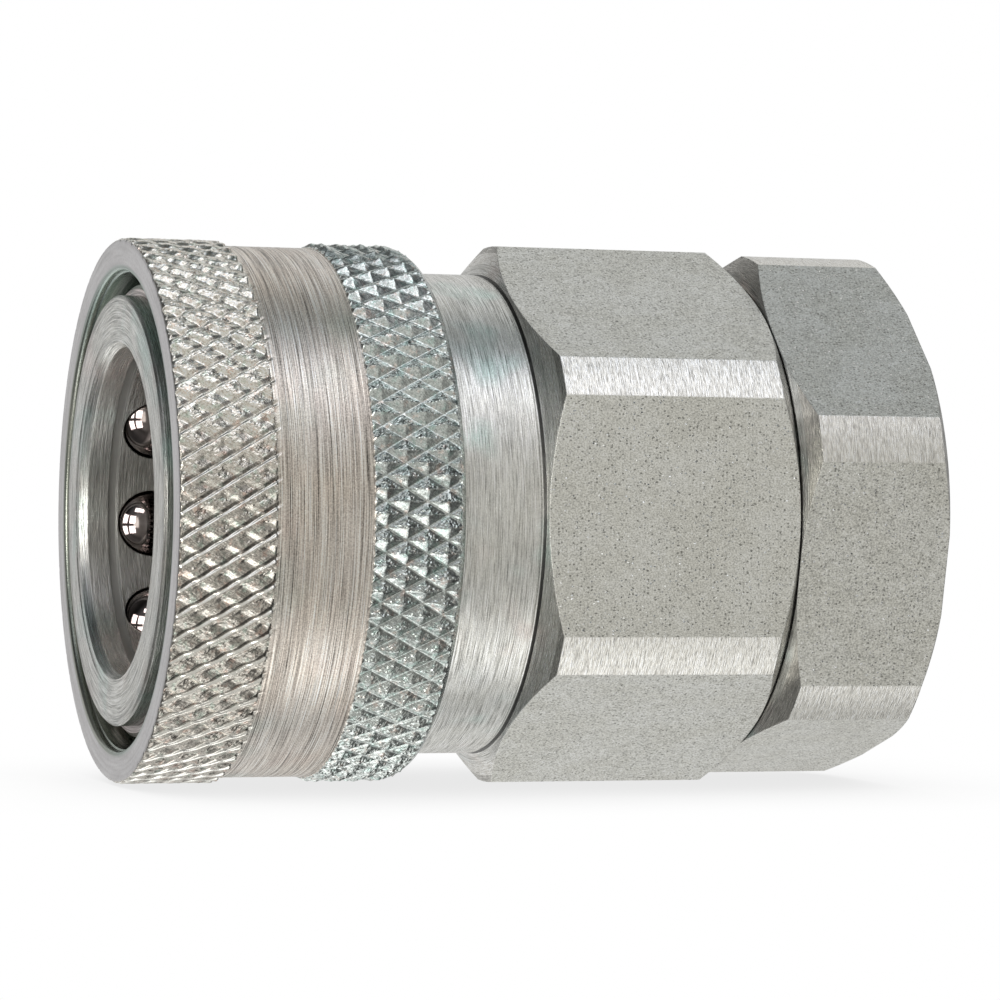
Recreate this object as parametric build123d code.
from build123d import *
import math
import os

# Quick disconnect coupler, socket half, 12.5 mm class. Millimetres.
# The axis is X: the threaded rear port opens towards +X, the socket mouth
# towards -X, +Z is up. The origin is the centre of the rear adapter's end face.
#
# Names ending in _AT are stations: distances back (+X) from the sleeve's front
# face. A pair is (front, rear). Names ending in _R are radii from the axis, or
# of a round section; a pair is (inner, outer). Names ending in _DEG are angles
# about the axis, from -Y towards +Z. Outlines are lists of (station, radius).

# ---------------------------------------------------------- shared dimensions
LENGTH = 57.75            # sleeve front face to rear adapter end face
BACK_CYL_AT = (19.60, 26.80)  # plain cylinder the sleeve runs back over
BORE_END_AT = 25.60       # where the plug's end face stops
THROAT_R = 9.00
SEAT_AT = 27.10           # start of the 45 degree valve seat
SPIGOT_BORE_END_AT = 41.00

BALL_COUNT = 10
BALL_R = 5.556 / 2        # 7/32 inch ball
BALL_AT = 5.45
BALL_CENTRE_R = 13.228
BALL_FIRST_DEG = 184.80
BALL_ANGLES = [BALL_FIRST_DEG + k * 360 / BALL_COUNT for k in range(BALL_COUNT)]

WASHER_AT = (9.22, 9.82)
POPPET_BACK_AT = 31.10
GUIDE_AT = (39.50, 41.48)


# -------------------------------------------------------------------- helpers
def turned(outline):
    """Solid of revolution about X from the outline of a half section."""
    points = [(station - LENGTH, radius) for station, radius in outline]
    return revolve(make_face(Polyline(*points, close=True)), Axis.X, 360)


def tube(span, radii):
    front, rear = span
    inner, outer = radii
    return turned([(front, inner), (front, outer), (rear, outer), (rear, inner)])


def direction(deg):
    """Unit vector pointing outward at an angle."""
    angle = math.radians(deg)
    return (0.0, -math.cos(angle), math.sin(angle))


def point_at(station, radius, deg):
    _, y, z = direction(deg)
    return (station - LENGTH, y * radius, z * radius)


def radial_plane(station, radius, deg):
    """Plane at a radius, with its normal outward and its x along the axis."""
    return Plane(origin=point_at(station, radius, deg), x_dir=(1, 0, 0), z_dir=direction(deg))


def cross_plane(station):
    """Plane across the axis, facing the rear, with its x along +Y."""
    return Plane(origin=(station - LENGTH, 0, 0), x_dir=(0, 1, 0), z_dir=(1, 0, 0))


def radial_box(span, radii, width, deg, extra=0.0):
    """Box between two stations and two radii, longer by extra radially."""
    middle = radial_plane(sum(span) / 2, sum(radii) / 2, deg)
    return middle * Box(span[1] - span[0], width, radii[1] - radii[0] + extra)


def gap_cutter(span, radii, width, deg):
    """What opens a gap in a split ring, running past it on every face."""
    return radial_box((span[0] - 1, span[1] + 1), radii, width, deg, extra=4)


def hex_flats(span, across, corner_deg):
    """What is cut away outside a hexagonal prism between two stations."""
    blank_r = 24.0        # clear of all the turned hexagon corners
    corner_r = across / 2 / math.cos(math.pi / 6)
    corners = [point_at(0, corner_r, corner_deg + 60 * k)[1:] for k in range(6)]
    hexagon = make_face(Polyline(*corners, close=True))
    prism = extrude(cross_plane(span[0]) * hexagon, span[1] - span[0])
    return tube(span, (0.0, blank_r)) - prism


def torus(station, centre_r, section_r):
    return cross_plane(station) * Torus(centre_r, section_r)


def coil(span, mean_r, wire, turns):
    """Round wire compression spring, just clear of the faces at both ends."""
    clearance = 0.03
    height = span[1] - span[0] - wire - 2 * clearance
    start_x = span[0] + wire / 2 + clearance - LENGTH
    helix = Helix(pitch=height / turns, height=height, radius=mean_r,
                  center=(start_x, 0, 0), direction=(1, 0, 0))
    start = Plane(origin=helix @ 0, z_dir=helix % 0)
    return sweep(start * Circle(wire / 2), path=helix, is_frenet=True)


# ---------------------------------------------------------------- socket body
NOSE_FACE_AT = -0.10      # nose end face, just proud of the sleeve
NOSE_R = 15.60
NOSE_CHAMFER = 0.18
FACE_STEP_R = 12.90       # turned step in the nose face
FACE_STEP = 0.06
BORE_R = 11.85            # socket bore
MOUTH_CHAMFER = (0.60, 0.40)    # along the bore, radial
RING_GROOVE_AT = (1.25, 2.35)
RING_GROOVE_R = 15.10
RELIEF_AT = (2.15, 2.80)  # shallow relief in the bore, near the mouth
RELIEF_R = BORE_R + 0.22
NOSE_END_AT = 9.20        # nose shoulder that stops the spring washer
WAIST_R = 15.00           # reduced diameter under the sleeve spring
BACK_CYL_R = 17.75
BACK_CYL_CHAMFER = 0.30
HEX_AF = 36.00            # big hexagon across flats
HEX_CORNER_DEG = 30.0
HEX_TURN_R = 19.93        # turned corners of the big hexagon
HEX_END_AT = 46.15
HEX_CUT_AT = (BACK_CYL_AT[1] + 0.05, 46.9)
GLAND_AT = (19.80, 24.00)
GLAND_R = 14.00
THROAT_CHAMFER = 0.30
CHAMBER_R = 12.60
CHAMBER_END_AT = 36.80
SPIGOT_BORE_R = 14.00
THREAD_BORE_R = 15.00
THREAD_CHAMFER = 0.6
POCKET_R = BALL_R + 0.052
POCKET_LENGTH = 5.0       # straight part of a ball pocket
TAPER_INNER_R = 2.19      # small end of a pocket's taper
TAPER_START_R = 10.75     # distance of that end from the axis
TAPER_LENGTH = 2.0


def socket_body():
    step_at = NOSE_FACE_AT + FACE_STEP
    body = turned([
        # mouth and nose face
        (step_at + MOUTH_CHAMFER[0], BORE_R),
        (step_at, BORE_R + MOUTH_CHAMFER[1]),
        (step_at, FACE_STEP_R),
        (NOSE_FACE_AT, FACE_STEP_R + 0.05),
        # outside, front to back
        (NOSE_FACE_AT, NOSE_R - NOSE_CHAMFER),
        (NOSE_FACE_AT + NOSE_CHAMFER, NOSE_R),
        (RING_GROOVE_AT[0], NOSE_R),
        (RING_GROOVE_AT[0], RING_GROOVE_R),
        (RING_GROOVE_AT[1], RING_GROOVE_R),
        (RING_GROOVE_AT[1], NOSE_R),
        (NOSE_END_AT, NOSE_R),
        (NOSE_END_AT, WAIST_R),
        (BACK_CYL_AT[0], WAIST_R),
        (BACK_CYL_AT[0], BACK_CYL_R - BACK_CYL_CHAMFER),
        (BACK_CYL_AT[0] + BACK_CYL_CHAMFER, BACK_CYL_R),
        (BACK_CYL_AT[1] - 0.22, BACK_CYL_R),
        (BACK_CYL_AT[1] - 0.14, BACK_CYL_R - 0.10),
        (BACK_CYL_AT[1] - 0.02, BACK_CYL_R - 0.10),
        (27.00, 17.80),
        (28.30, HEX_TURN_R),
        (44.80, HEX_TURN_R),
        (HEX_END_AT, 18.00),
        # rear end and inside, back to front
        (HEX_END_AT, THREAD_BORE_R + THREAD_CHAMFER),
        (HEX_END_AT - THREAD_CHAMFER, THREAD_BORE_R),
        (SPIGOT_BORE_END_AT, THREAD_BORE_R),
        (SPIGOT_BORE_END_AT, SPIGOT_BORE_R),
        (CHAMBER_END_AT, SPIGOT_BORE_R),
        (CHAMBER_END_AT, CHAMBER_R),
        (SEAT_AT + (CHAMBER_R - THROAT_R), CHAMBER_R),
        (SEAT_AT, THROAT_R),
        (BORE_END_AT + THROAT_CHAMFER, THROAT_R),
        (BORE_END_AT, THROAT_R + THROAT_CHAMFER),
        (BORE_END_AT, BORE_R),
        (GLAND_AT[1], BORE_R),
        (GLAND_AT[1], GLAND_R),
        (GLAND_AT[0], GLAND_R),
        (GLAND_AT[0], BORE_R),
        (RELIEF_AT[1], BORE_R),
        (RELIEF_AT[1], RELIEF_R),
        (RELIEF_AT[0], RELIEF_R),
        (RELIEF_AT[0], BORE_R),
    ])
    body = body - hex_flats(HEX_CUT_AT, HEX_AF, HEX_CORNER_DEG)

    # ball pockets: a straight hole with a tapered inner end that keeps the ball in
    outward = (Align.CENTER, Align.CENTER, Align.MIN)
    for deg in BALL_ANGLES:
        hole = radial_plane(BALL_AT, TAPER_START_R + TAPER_LENGTH, deg) * Cylinder(
            POCKET_R, POCKET_LENGTH, align=outward)
        taper = radial_plane(BALL_AT, TAPER_START_R, deg) * Cone(
            TAPER_INNER_R, POCKET_R, TAPER_LENGTH, align=outward)
        body = body - hole - taper
    return body


# --------------------------------------------------------------- rear adapter
ADAPTER_FRONT_AT = 37.00
ADAPTER_NOSE_R = 13.95
ADAPTER_CHAMFER = 0.3
ADAPTER_THREAD_R = 14.95
ADAPTER_GROOVE_AT = (38.40, 40.50)
ADAPTER_GROOVE_R = 12.55
ADAPTER_NECK_R = 14.30    # between the thread and the hexagon
ADAPTER_RECESS_R = 11.20
ADAPTER_RECESS_AT = 41.50
PASSAGE_R = 8.20
PORT_R = 9.13             # minor radius of a 1/2 inch, 14 per inch pipe thread
PORT_CHAMFER = 0.90
PORT_END_AT = LENGTH - 14.20
ADAPTER_HEX_AF = 35.90
ADAPTER_HEX_TURN_R = 19.80
ADAPTER_HEX_CORNER_DEG = 16.85
ADAPTER_HEX_AT = 46.30
ADAPTER_HEX_CUT_AT = (46.0, 58.5)


def rear_adapter():
    adapter = turned([
        # outside, front to back
        (ADAPTER_FRONT_AT, ADAPTER_RECESS_R),
        (ADAPTER_FRONT_AT, ADAPTER_NOSE_R - ADAPTER_CHAMFER),
        (ADAPTER_FRONT_AT + ADAPTER_CHAMFER, ADAPTER_NOSE_R),
        (ADAPTER_GROOVE_AT[0], ADAPTER_NOSE_R),
        (ADAPTER_GROOVE_AT[0], ADAPTER_GROOVE_R),
        (ADAPTER_GROOVE_AT[1], ADAPTER_GROOVE_R),
        (ADAPTER_GROOVE_AT[1], ADAPTER_NOSE_R),
        (SPIGOT_BORE_END_AT + 0.2, ADAPTER_NOSE_R),
        (SPIGOT_BORE_END_AT + 1.2, ADAPTER_THREAD_R),
        (45.30, ADAPTER_THREAD_R),
        (45.60, ADAPTER_NECK_R),
        (ADAPTER_HEX_AT, ADAPTER_NECK_R),
        (ADAPTER_HEX_AT, 18.00),
        (47.30, ADAPTER_HEX_TURN_R),
        (56.80, ADAPTER_HEX_TURN_R),
        (LENGTH, 18.20),
        # inside, back to front
        (LENGTH, PORT_R + PORT_CHAMFER),
        (LENGTH - PORT_CHAMFER, PORT_R),
        (PORT_END_AT, PORT_R),
        (PORT_END_AT - (PORT_R - PASSAGE_R) * 0.6, PASSAGE_R),
        (ADAPTER_RECESS_AT, PASSAGE_R),
        (ADAPTER_RECESS_AT, ADAPTER_RECESS_R),
    ])
    return adapter - hex_flats(ADAPTER_HEX_CUT_AT, ADAPTER_HEX_AF, ADAPTER_HEX_CORNER_DEG)


# -------------------------------------------------------------- locking sleeve
SLEEVE_TRAVEL = 6.00
BALL_TRAVEL = 1.41
RAMP_CLEARANCE = 0.06     # between ball and ramp
RAMP_FRONT_AT = 0.62
FRONT_KNURL_END_AT = 6.90
FRONT_KNURL_R = 19.75
BAND_R = 19.38            # plain band between the knurls
REAR_KNURL_AT = (13.95, 20.60)
REAR_KNURL_R = 19.80
SLEEVE_MOUTH_R = 17.40
SLEEVE_MOUTH_CHAMFER = 0.22
LAND_R = 16.25
LAND_END_AT = 9.18
WASHER_GROOVE_R = 17.15
SPRING_CHAMBER_R = 16.90
SLIDE_R = 17.80           # rear bore, over the body's plain cylinder
SLIDE_CHAMFER = 0.25
SLIDE_STEP_AT = BACK_CYL_AT[0] - SLEEVE_TRAVEL - 0.03


def locking_sleeve():
    # The inner front is a ramp whose slope is the balls' travel over the sleeve's
    # travel, so that the balls move out evenly as the sleeve goes back.
    slope = BALL_TRAVEL / SLEEVE_TRAVEL
    slant = math.sqrt(1 + slope * slope)
    touch_at = BALL_AT + BALL_R * slope / slant
    touch_r = BALL_CENTRE_R + BALL_R / slant + RAMP_CLEARANCE * slant
    return turned([
        # outside, front to back
        (0.00, SLEEVE_MOUTH_R + SLEEVE_MOUTH_CHAMFER),
        (0.00, 19.30),
        (0.30, FRONT_KNURL_R),
        (FRONT_KNURL_END_AT - 0.05, FRONT_KNURL_R),
        (FRONT_KNURL_END_AT, BAND_R),
        (REAR_KNURL_AT[0] - 0.02, BAND_R),
        (REAR_KNURL_AT[0] + 0.10, REAR_KNURL_R),
        (REAR_KNURL_AT[1] - 0.60, REAR_KNURL_R),
        (REAR_KNURL_AT[1], 19.15),
        # inside, back to front
        (REAR_KNURL_AT[1], SLIDE_R + SLIDE_CHAMFER),
        (REAR_KNURL_AT[1] - SLIDE_CHAMFER, SLIDE_R),
        (SLIDE_STEP_AT, SLIDE_R),
        (SLIDE_STEP_AT, SPRING_CHAMBER_R),
        (WASHER_AT[1] + 0.10, SPRING_CHAMBER_R),
        (WASHER_AT[1] + 0.04, WASHER_GROOVE_R),
        (LAND_END_AT, WASHER_GROOVE_R),
        (LAND_END_AT, LAND_R),
        (touch_at - (LAND_R - touch_r) / slope, LAND_R),
        (RAMP_FRONT_AT, touch_r + slope * (touch_at - RAMP_FRONT_AT)),
        (0.55, SLEEVE_MOUTH_R),
        (SLEEVE_MOUTH_CHAMFER, SLEEVE_MOUTH_R),
    ])


# --------------------------------------- sleeve spring washer, retaining ring
WASHER_R = (15.06, 16.85)
RING_AT = (1.30, 2.30)
RING_R = (15.15, 16.40)
RING_CHAMFER = 0.3


def spring_washer():
    return tube(WASHER_AT, WASHER_R) - gap_cutter(WASHER_AT, WASHER_R, width=3.0, deg=90)


def retaining_ring():
    (front, rear), (inner, outer) = RING_AT, RING_R
    ring = turned([
        (front, inner), (front, outer - RING_CHAMFER), (front + RING_CHAMFER, outer),
        (rear - RING_CHAMFER, outer), (rear, outer - RING_CHAMFER), (rear, inner),
    ])
    return ring - gap_cutter(RING_AT, RING_R, width=2.4, deg=-120)


# --------------------------------------------------------------- poppet valve
POPPET_NOSE_AT = 22.50
POPPET_NOSE_R = 4.60
POPPET_HEAD_R = 8.60
POPPET_CONE_R = (8.85, 11.15)
STEM_R = 2.00
STEM_END_AT = 42.60
POPPET_CHAMFER = 0.4      # on the nose and the stem
BOSS_END_AT = POPPET_BACK_AT + 1.2
SEAT_GAP = 0.10           # square to the seat
SEAL = (29.26, 10.00)     # station, centre radius
SEAL_R = 0.80


def poppet_valve():
    def cone_at(radius):
        return SEAT_AT + SEAT_GAP * math.sqrt(2) + (radius - THROAT_R)

    cone_inner, cone_outer = POPPET_CONE_R
    poppet = turned([
        (POPPET_NOSE_AT, 0),
        (POPPET_NOSE_AT, POPPET_NOSE_R - POPPET_CHAMFER),
        (POPPET_NOSE_AT + POPPET_CHAMFER, POPPET_NOSE_R),
        (POPPET_NOSE_AT + 1.6, POPPET_NOSE_R),
        (BORE_END_AT + 0.4, POPPET_HEAD_R),
        (cone_at(cone_inner) - 0.2, POPPET_HEAD_R),
        (cone_at(cone_inner), cone_inner),
        (cone_at(cone_outer), cone_outer),
        (POPPET_BACK_AT - 0.2, cone_outer),
        (POPPET_BACK_AT, cone_outer - 0.2),
        (POPPET_BACK_AT, 3.55),
        (BOSS_END_AT, 3.40),
        (BOSS_END_AT, STEM_R),
        (STEM_END_AT - POPPET_CHAMFER, STEM_R),
        (STEM_END_AT, STEM_R - POPPET_CHAMFER),
        (STEM_END_AT, 0),
    ])
    return poppet - torus(*SEAL, SEAL_R + 0.02)


# ---------------------------------------------------------------- valve guide
GUIDE_RIM_R = (9.35, 11.15)
HUB_BORE_R = 2.05
COLLAR_R = 5.45           # disc around the hub
HUB_R = 3.30
HUB_AT = (36.90, 42.30)
SPOKE_R = (4.8, 9.8)      # runs into the collar and the rim
SPOKE_WIDTH = 2.4


def valve_guide():
    guide = tube(GUIDE_AT, GUIDE_RIM_R)
    guide = guide + tube(GUIDE_AT, (HUB_BORE_R, COLLAR_R))
    guide = guide + tube(HUB_AT, (HUB_BORE_R, HUB_R))
    for k in range(3):
        guide = guide + radial_box(GUIDE_AT, SPOKE_R, SPOKE_WIDTH, 90 + 120 * k)
    return guide


# --------------------------------------------------------------------- output
parts = {
    "socket_body": socket_body(),
    "rear_adapter": rear_adapter(),
    "locking_sleeve": locking_sleeve(),
    "sleeve_spring_washer": spring_washer(),
    "sleeve_spring": coil((WASHER_AT[1], BACK_CYL_AT[0]), mean_r=15.85, wire=1.25, turns=2.7),
    "sleeve_retaining_ring": retaining_ring(),
    "poppet_valve": poppet_valve(),
    "poppet_seal": torus(*SEAL, SEAL_R),
    "valve_spring": coil((POPPET_BACK_AT, GUIDE_AT[0]), mean_r=4.25, wire=1.00, turns=3.3),
    "valve_guide": valve_guide(),
    "socket_o_ring": torus(22.60, centre_r=12.83, section_r=1.14),
    "backup_ring": tube((19.92, 21.22), (11.92, 13.92)),
    "adapter_o_ring": torus(39.45, centre_r=13.275, section_r=0.715),
}
for number, deg in enumerate(BALL_ANGLES, start=1):
    centre = point_at(BALL_AT, BALL_CENTRE_R, deg)
    parts[f"locking_ball_{number:02d}"] = Location(centre) * Sphere(BALL_R)

os.makedirs("parts", exist_ok=True)
for name, shape in parts.items():
    shape.label = name
    export_step(shape, f"parts/{name}.step")
